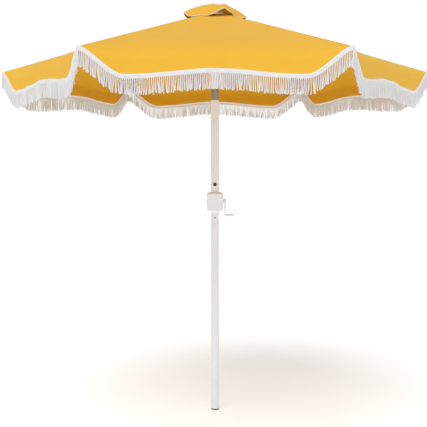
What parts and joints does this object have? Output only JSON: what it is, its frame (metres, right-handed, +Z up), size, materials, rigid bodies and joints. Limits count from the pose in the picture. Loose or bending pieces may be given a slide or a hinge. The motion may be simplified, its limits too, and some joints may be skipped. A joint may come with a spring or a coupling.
{
  "type": "patio umbrella",
  "caption": "Crank-lift patio and beach umbrella: a straight pole with a tilt hinge, a fabric canopy on folding ribs, a vent cap and a fringed scalloped valance.",
  "frame": {"origin": "centre of the underside of the pole foot, on the ground plane of the object", "axes": "+Z up the pole, +X towards rib 1 and the crank handle, -Y towards the snap button and tilt button"},
  "size_m": [2.2908, 1.9858, 2.2014],
  "materials": {
    "canopy_cloth": "matt woven polyester",
    "trim_cloth": "off-white twisted yarn",
    "cord": "braided",
    "black_plastic": "moulded",
    "dark_plastic": "moulded",
    "white_paint": "powder coat",
    "white_plastic": "moulded",
    "zinc": "zinc plated"
  },
  "bodies": {
    "mast": {"foot_plug": "black_plastic", "lower_pole": "white_paint", "pole_spigot": "zinc", "main_pole": "white_paint", "crank_housing_front": "white_plastic", "crank_housing_back": "white_plastic", "housing_screws": "zinc", "button_bezel": "white_plastic", "button_pin": "dark_plastic", "tilt_fork": "zinc", "tilt_pin": "zinc", "lift_cord_lower": "cord"},
    "snap_button": {"snap_button": "zinc"},
    "tilt_button": {"tilt_button": "dark_plastic"},
    "crank": {"crank_shaft": "zinc", "crank_drum": "white_plastic", "crank_arm": "white_plastic"},
    "grip": {"crank_grip": "white_plastic"},
    "top": {"tilt_tongue": "zinc", "canopy_pole": "white_paint", "crown_hub": "white_plastic", "crown_pins": "zinc", "finial": "white_plastic", "vent_cap": "canopy_cloth", "lift_cord_upper": "cord"},
    "pulley": {"pulley": "white_plastic"},
    "runner": {"runner_hub": "white_plastic", "runner_pins": "zinc"},
    "rib_1": {"rib_1": "white_paint"},
    "stretcher_1": {"stretcher_1": "white_paint"},
    "rib_2": {"rib_2": "white_paint"},
    "stretcher_2": {"stretcher_2": "white_paint"},
    "rib_3": {"rib_3": "white_paint"},
    "stretcher_3": {"stretcher_3": "white_paint"},
    "rib_4": {"rib_4": "white_paint", "tie_strap": "canopy_cloth"},
    "stretcher_4": {"stretcher_4": "white_paint"},
    "rib_5": {"rib_5": "white_paint"},
    "stretcher_5": {"stretcher_5": "white_paint"},
    "rib_6": {"rib_6": "white_paint"},
    "stretcher_6": {"stretcher_6": "white_paint"},
    "gather_a_1": {"canopy_panel_1": "canopy_cloth"},
    "gather_b_1": {"edge_piping_1": "trim_cloth"},
    "skirt_1": {"fringe_1": "trim_cloth"},
    "gather_a_2": {"canopy_panel_2": "canopy_cloth"},
    "gather_b_2": {"edge_piping_2": "trim_cloth"},
    "skirt_2": {"fringe_2": "trim_cloth"},
    "gather_a_3": {"canopy_panel_3": "canopy_cloth"},
    "gather_b_3": {"edge_piping_3": "trim_cloth"},
    "skirt_3": {"fringe_3": "trim_cloth"},
    "gather_a_4": {"canopy_panel_4": "canopy_cloth"},
    "gather_b_4": {"edge_piping_4": "trim_cloth"},
    "skirt_4": {"fringe_4": "trim_cloth"},
    "gather_a_5": {"canopy_panel_5": "canopy_cloth"},
    "gather_b_5": {"edge_piping_5": "trim_cloth"},
    "skirt_5": {"fringe_5": "trim_cloth"},
    "gather_a_6": {"canopy_panel_6": "canopy_cloth"},
    "gather_b_6": {"edge_piping_6": "trim_cloth"},
    "skirt_6": {"fringe_6": "trim_cloth"}
  },
  "joints": [
    {"name": "tilt", "type": "hinge", "parent": "mast", "child": "top", "pos_m": [0, 0, 1.722], "axis": [0, 1, 0], "range_deg": [-30, 0]},
    {"name": "canopy_fold", "type": "hinge", "parent": "top", "child": "rib_1", "pos_m": [0.0352, 0, 2.14395], "axis": [0, 1, 0], "range_deg": [0, 69.2], "deforming": ["canopy_panel_1", "canopy_panel_2", "canopy_panel_3", "canopy_panel_4", "canopy_panel_5", "canopy_panel_6", "edge_piping_1", "edge_piping_2", "edge_piping_3", "edge_piping_4", "edge_piping_5", "edge_piping_6", "fringe_1", "fringe_2", "fringe_3", "fringe_4", "fringe_5", "fringe_6"]},
    {"name": "tilt_button_press", "type": "slide", "parent": "mast", "child": "tilt_button", "axis": [0, 1, 0], "range_m": [0, 0.004]},
    {"name": "snap_button_press", "type": "slide", "parent": "mast", "child": "snap_button", "axis": [0, 1, 0], "range_m": [0, 0.005]},
    {"name": "grip_spin", "type": "hinge", "parent": "crank", "child": "grip", "pos_m": [0.06, 0, 1.072], "axis": [1, 0, 0], "continuous": true},
    {"name": "crank_turn", "type": "hinge", "parent": "mast", "child": "crank", "pos_m": [0, 0, 1.148], "axis": [1, 0, 0], "range_deg": [-5, 2980.6]},
    {"name": "pulley_turn", "type": "hinge", "parent": "top", "child": "pulley", "pos_m": [0, 0.0035, 2.12195], "axis": [1, 0, 0], "range_deg": [-5, 4282.43]},
    {"name": "stretcher_1_swing", "type": "hinge", "parent": "rib_1", "child": "stretcher_1", "pos_m": [0.43498, 0, 2.0142], "axis": [0, 1, 0], "range_deg": [-138.4, 0]},
    {"name": "rib_2_fold", "type": "hinge", "parent": "top", "child": "rib_2", "pos_m": [0.0176, 0.03048, 2.14395], "axis": [-0.866, 0.5, 0], "range_deg": [0, 69.2]},
    {"name": "stretcher_2_swing", "type": "hinge", "parent": "rib_2", "child": "stretcher_2", "pos_m": [0.21749, 0.3767, 2.0142], "axis": [-0.866, 0.5, 0], "range_deg": [-138.4, 0]},
    {"name": "rib_3_fold", "type": "hinge", "parent": "top", "child": "rib_3", "pos_m": [-0.0176, 0.03048, 2.14395], "axis": [-0.866, -0.5, 0], "range_deg": [0, 69.2]},
    {"name": "stretcher_3_swing", "type": "hinge", "parent": "rib_3", "child": "stretcher_3", "pos_m": [-0.21749, 0.3767, 2.0142], "axis": [-0.866, -0.5, 0], "range_deg": [-138.4, 0]},
    {"name": "rib_4_fold", "type": "hinge", "parent": "top", "child": "rib_4", "pos_m": [-0.0352, 0, 2.14395], "axis": [0, -1, 0], "range_deg": [0, 69.2]},
    {"name": "stretcher_4_swing", "type": "hinge", "parent": "rib_4", "child": "stretcher_4", "pos_m": [-0.43498, 0, 2.0142], "axis": [0, -1, 0], "range_deg": [-138.4, 0]},
    {"name": "rib_5_fold", "type": "hinge", "parent": "top", "child": "rib_5", "pos_m": [-0.0176, -0.03048, 2.14395], "axis": [0.866, -0.5, 0], "range_deg": [0, 69.2]},
    {"name": "stretcher_5_swing", "type": "hinge", "parent": "rib_5", "child": "stretcher_5", "pos_m": [-0.21749, -0.3767, 2.0142], "axis": [0.866, -0.5, 0], "range_deg": [-138.4, 0]},
    {"name": "rib_6_fold", "type": "hinge", "parent": "top", "child": "rib_6", "pos_m": [0.0176, -0.03048, 2.14395], "axis": [0.866, 0.5, 0], "range_deg": [0, 69.2]},
    {"name": "stretcher_6_swing", "type": "hinge", "parent": "rib_6", "child": "stretcher_6", "pos_m": [0.21749, -0.3767, 2.0142], "axis": [0.866, 0.5, 0], "range_deg": [-138.4, 0]},
    {"name": "runner_slide", "type": "hinge", "parent": "stretcher_1", "child": "runner", "pos_m": [0.0352, 0, 1.88445], "axis": [0, 1, 0], "range_deg": [0, 69.2]},
    {"name": "gather_a_1_turn", "type": "hinge", "parent": "rib_1", "child": "gather_a_1", "pos_m": [0.0352, 0.02543, 2.14395], "axis": [-0.7825, -0.3102, -0.5398], "range_deg": [0, 33.26]},
    {"name": "gather_b_1_turn", "type": "hinge", "parent": "rib_2", "child": "gather_b_1", "pos_m": [0.03963, 0.01777, 2.14395], "axis": [0.6599, 0.5226, 0.5398], "range_deg": [0, 33.26]},
    {"name": "skirt_1_hang", "type": "hinge", "parent": "gather_a_1", "child": "skirt_1", "pos_m": [0.80771, 0.46633, 1.83492], "axis": [-0.5, 0.866, 0], "range_deg": [-65.92, 0]},
    {"name": "gather_a_2_turn", "type": "hinge", "parent": "rib_2", "child": "gather_a_2", "pos_m": [-0.00443, 0.0432, 2.14395], "axis": [-0.1227, -0.8328, -0.5398], "range_deg": [0, 33.26]},
    {"name": "gather_b_2_turn", "type": "hinge", "parent": "rib_3", "child": "gather_b_2", "pos_m": [0.00443, 0.0432, 2.14395], "axis": [-0.1227, 0.8328, 0.5398], "range_deg": [0, 33.26]},
    {"name": "skirt_2_hang", "type": "hinge", "parent": "gather_a_2", "child": "skirt_2", "pos_m": [0, 0.93267, 1.83492], "axis": [-1, 0, 0], "range_deg": [-65.92, 0]},
    {"name": "gather_a_3_turn", "type": "hinge", "parent": "rib_3", "child": "gather_a_3", "pos_m": [-0.03963, 0.01777, 2.14395], "axis": [0.6599, -0.5226, -0.5398], "range_deg": [0, 33.26]},
    {"name": "gather_b_3_turn", "type": "hinge", "parent": "rib_4", "child": "gather_b_3", "pos_m": [-0.0352, 0.02543, 2.14395], "axis": [-0.7825, 0.3102, 0.5398], "range_deg": [0, 33.26]},
    {"name": "skirt_3_hang", "type": "hinge", "parent": "gather_a_3", "child": "skirt_3", "pos_m": [-0.80771, 0.46633, 1.83492], "axis": [-0.5, -0.866, 0], "range_deg": [-65.92, 0]},
    {"name": "gather_a_4_turn", "type": "hinge", "parent": "rib_4", "child": "gather_a_4", "pos_m": [-0.0352, -0.02543, 2.14395], "axis": [0.7825, 0.3102, -0.5398], "range_deg": [0, 33.26]},
    {"name": "gather_b_4_turn", "type": "hinge", "parent": "rib_5", "child": "gather_b_4", "pos_m": [-0.03963, -0.01777, 2.14395], "axis": [-0.6599, -0.5226, 0.5398], "range_deg": [0, 33.26]},
    {"name": "skirt_4_hang", "type": "hinge", "parent": "gather_a_4", "child": "skirt_4", "pos_m": [-0.80771, -0.46633, 1.83492], "axis": [0.5, -0.866, 0], "range_deg": [-65.92, 0]},
    {"name": "gather_a_5_turn", "type": "hinge", "parent": "rib_5", "child": "gather_a_5", "pos_m": [0.00443, -0.0432, 2.14395], "axis": [0.1227, 0.8328, -0.5398], "range_deg": [0, 33.26]},
    {"name": "gather_b_5_turn", "type": "hinge", "parent": "rib_6", "child": "gather_b_5", "pos_m": [-0.00443, -0.0432, 2.14395], "axis": [0.1227, -0.8328, 0.5398], "range_deg": [0, 33.26]},
    {"name": "skirt_5_hang", "type": "hinge", "parent": "gather_a_5", "child": "skirt_5", "pos_m": [0, -0.93267, 1.83492], "axis": [1, 0, 0], "range_deg": [-65.92, 0]},
    {"name": "gather_a_6_turn", "type": "hinge", "parent": "rib_6", "child": "gather_a_6", "pos_m": [0.03963, -0.01777, 2.14395], "axis": [-0.6599, 0.5226, -0.5398], "range_deg": [0, 33.26]},
    {"name": "gather_b_6_turn", "type": "hinge", "parent": "rib_1", "child": "gather_b_6", "pos_m": [0.0352, -0.02543, 2.14395], "axis": [0.7825, -0.3102, 0.5398], "range_deg": [0, 33.26]},
    {"name": "skirt_6_hang", "type": "hinge", "parent": "gather_a_6", "child": "skirt_6", "pos_m": [0.80771, -0.46633, 1.83492], "axis": [0.5, 0.866, 0], "range_deg": [-65.92, 0]}
  ],
  "couplings": [
    {"joint": "crank_turn", "follows": "canopy_fold", "ratio": 43},
    {"joint": "pulley_turn", "follows": "canopy_fold", "ratio": 61.812},
    {"joint": "stretcher_1_swing", "follows": "canopy_fold", "ratio": -2},
    {"joint": "rib_2_fold", "follows": "canopy_fold", "ratio": 1},
    {"joint": "stretcher_2_swing", "follows": "canopy_fold", "ratio": -2},
    {"joint": "rib_3_fold", "follows": "canopy_fold", "ratio": 1},
    {"joint": "stretcher_3_swing", "follows": "canopy_fold", "ratio": -2},
    {"joint": "rib_4_fold", "follows": "canopy_fold", "ratio": 1},
    {"joint": "stretcher_4_swing", "follows": "canopy_fold", "ratio": -2},
    {"joint": "rib_5_fold", "follows": "canopy_fold", "ratio": 1},
    {"joint": "stretcher_5_swing", "follows": "canopy_fold", "ratio": -2},
    {"joint": "rib_6_fold", "follows": "canopy_fold", "ratio": 1},
    {"joint": "stretcher_6_swing", "follows": "canopy_fold", "ratio": -2},
    {"joint": "runner_slide", "follows": "canopy_fold", "ratio": 1},
    {"joint": "gather_a_1_turn", "follows": "canopy_fold", "ratio": 0.48045},
    {"joint": "gather_b_1_turn", "follows": "canopy_fold", "ratio": 0.48045},
    {"joint": "skirt_1_hang", "follows": "canopy_fold", "ratio": -0.95239},
    {"joint": "gather_a_2_turn", "follows": "canopy_fold", "ratio": 0.48045},
    {"joint": "gather_b_2_turn", "follows": "canopy_fold", "ratio": 0.48045},
    {"joint": "skirt_2_hang", "follows": "canopy_fold", "ratio": -0.95239},
    {"joint": "gather_a_3_turn", "follows": "canopy_fold", "ratio": 0.48045},
    {"joint": "gather_b_3_turn", "follows": "canopy_fold", "ratio": 0.48045},
    {"joint": "skirt_3_hang", "follows": "canopy_fold", "ratio": -0.95239},
    {"joint": "gather_a_4_turn", "follows": "canopy_fold", "ratio": 0.48045},
    {"joint": "gather_b_4_turn", "follows": "canopy_fold", "ratio": 0.48045},
    {"joint": "skirt_4_hang", "follows": "canopy_fold", "ratio": -0.95239},
    {"joint": "gather_a_5_turn", "follows": "canopy_fold", "ratio": 0.48045},
    {"joint": "gather_b_5_turn", "follows": "canopy_fold", "ratio": 0.48045},
    {"joint": "skirt_5_hang", "follows": "canopy_fold", "ratio": -0.95239},
    {"joint": "gather_a_6_turn", "follows": "canopy_fold", "ratio": 0.48045},
    {"joint": "gather_b_6_turn", "follows": "canopy_fold", "ratio": 0.48045},
    {"joint": "skirt_6_hang", "follows": "canopy_fold", "ratio": -0.95239}
  ]
}
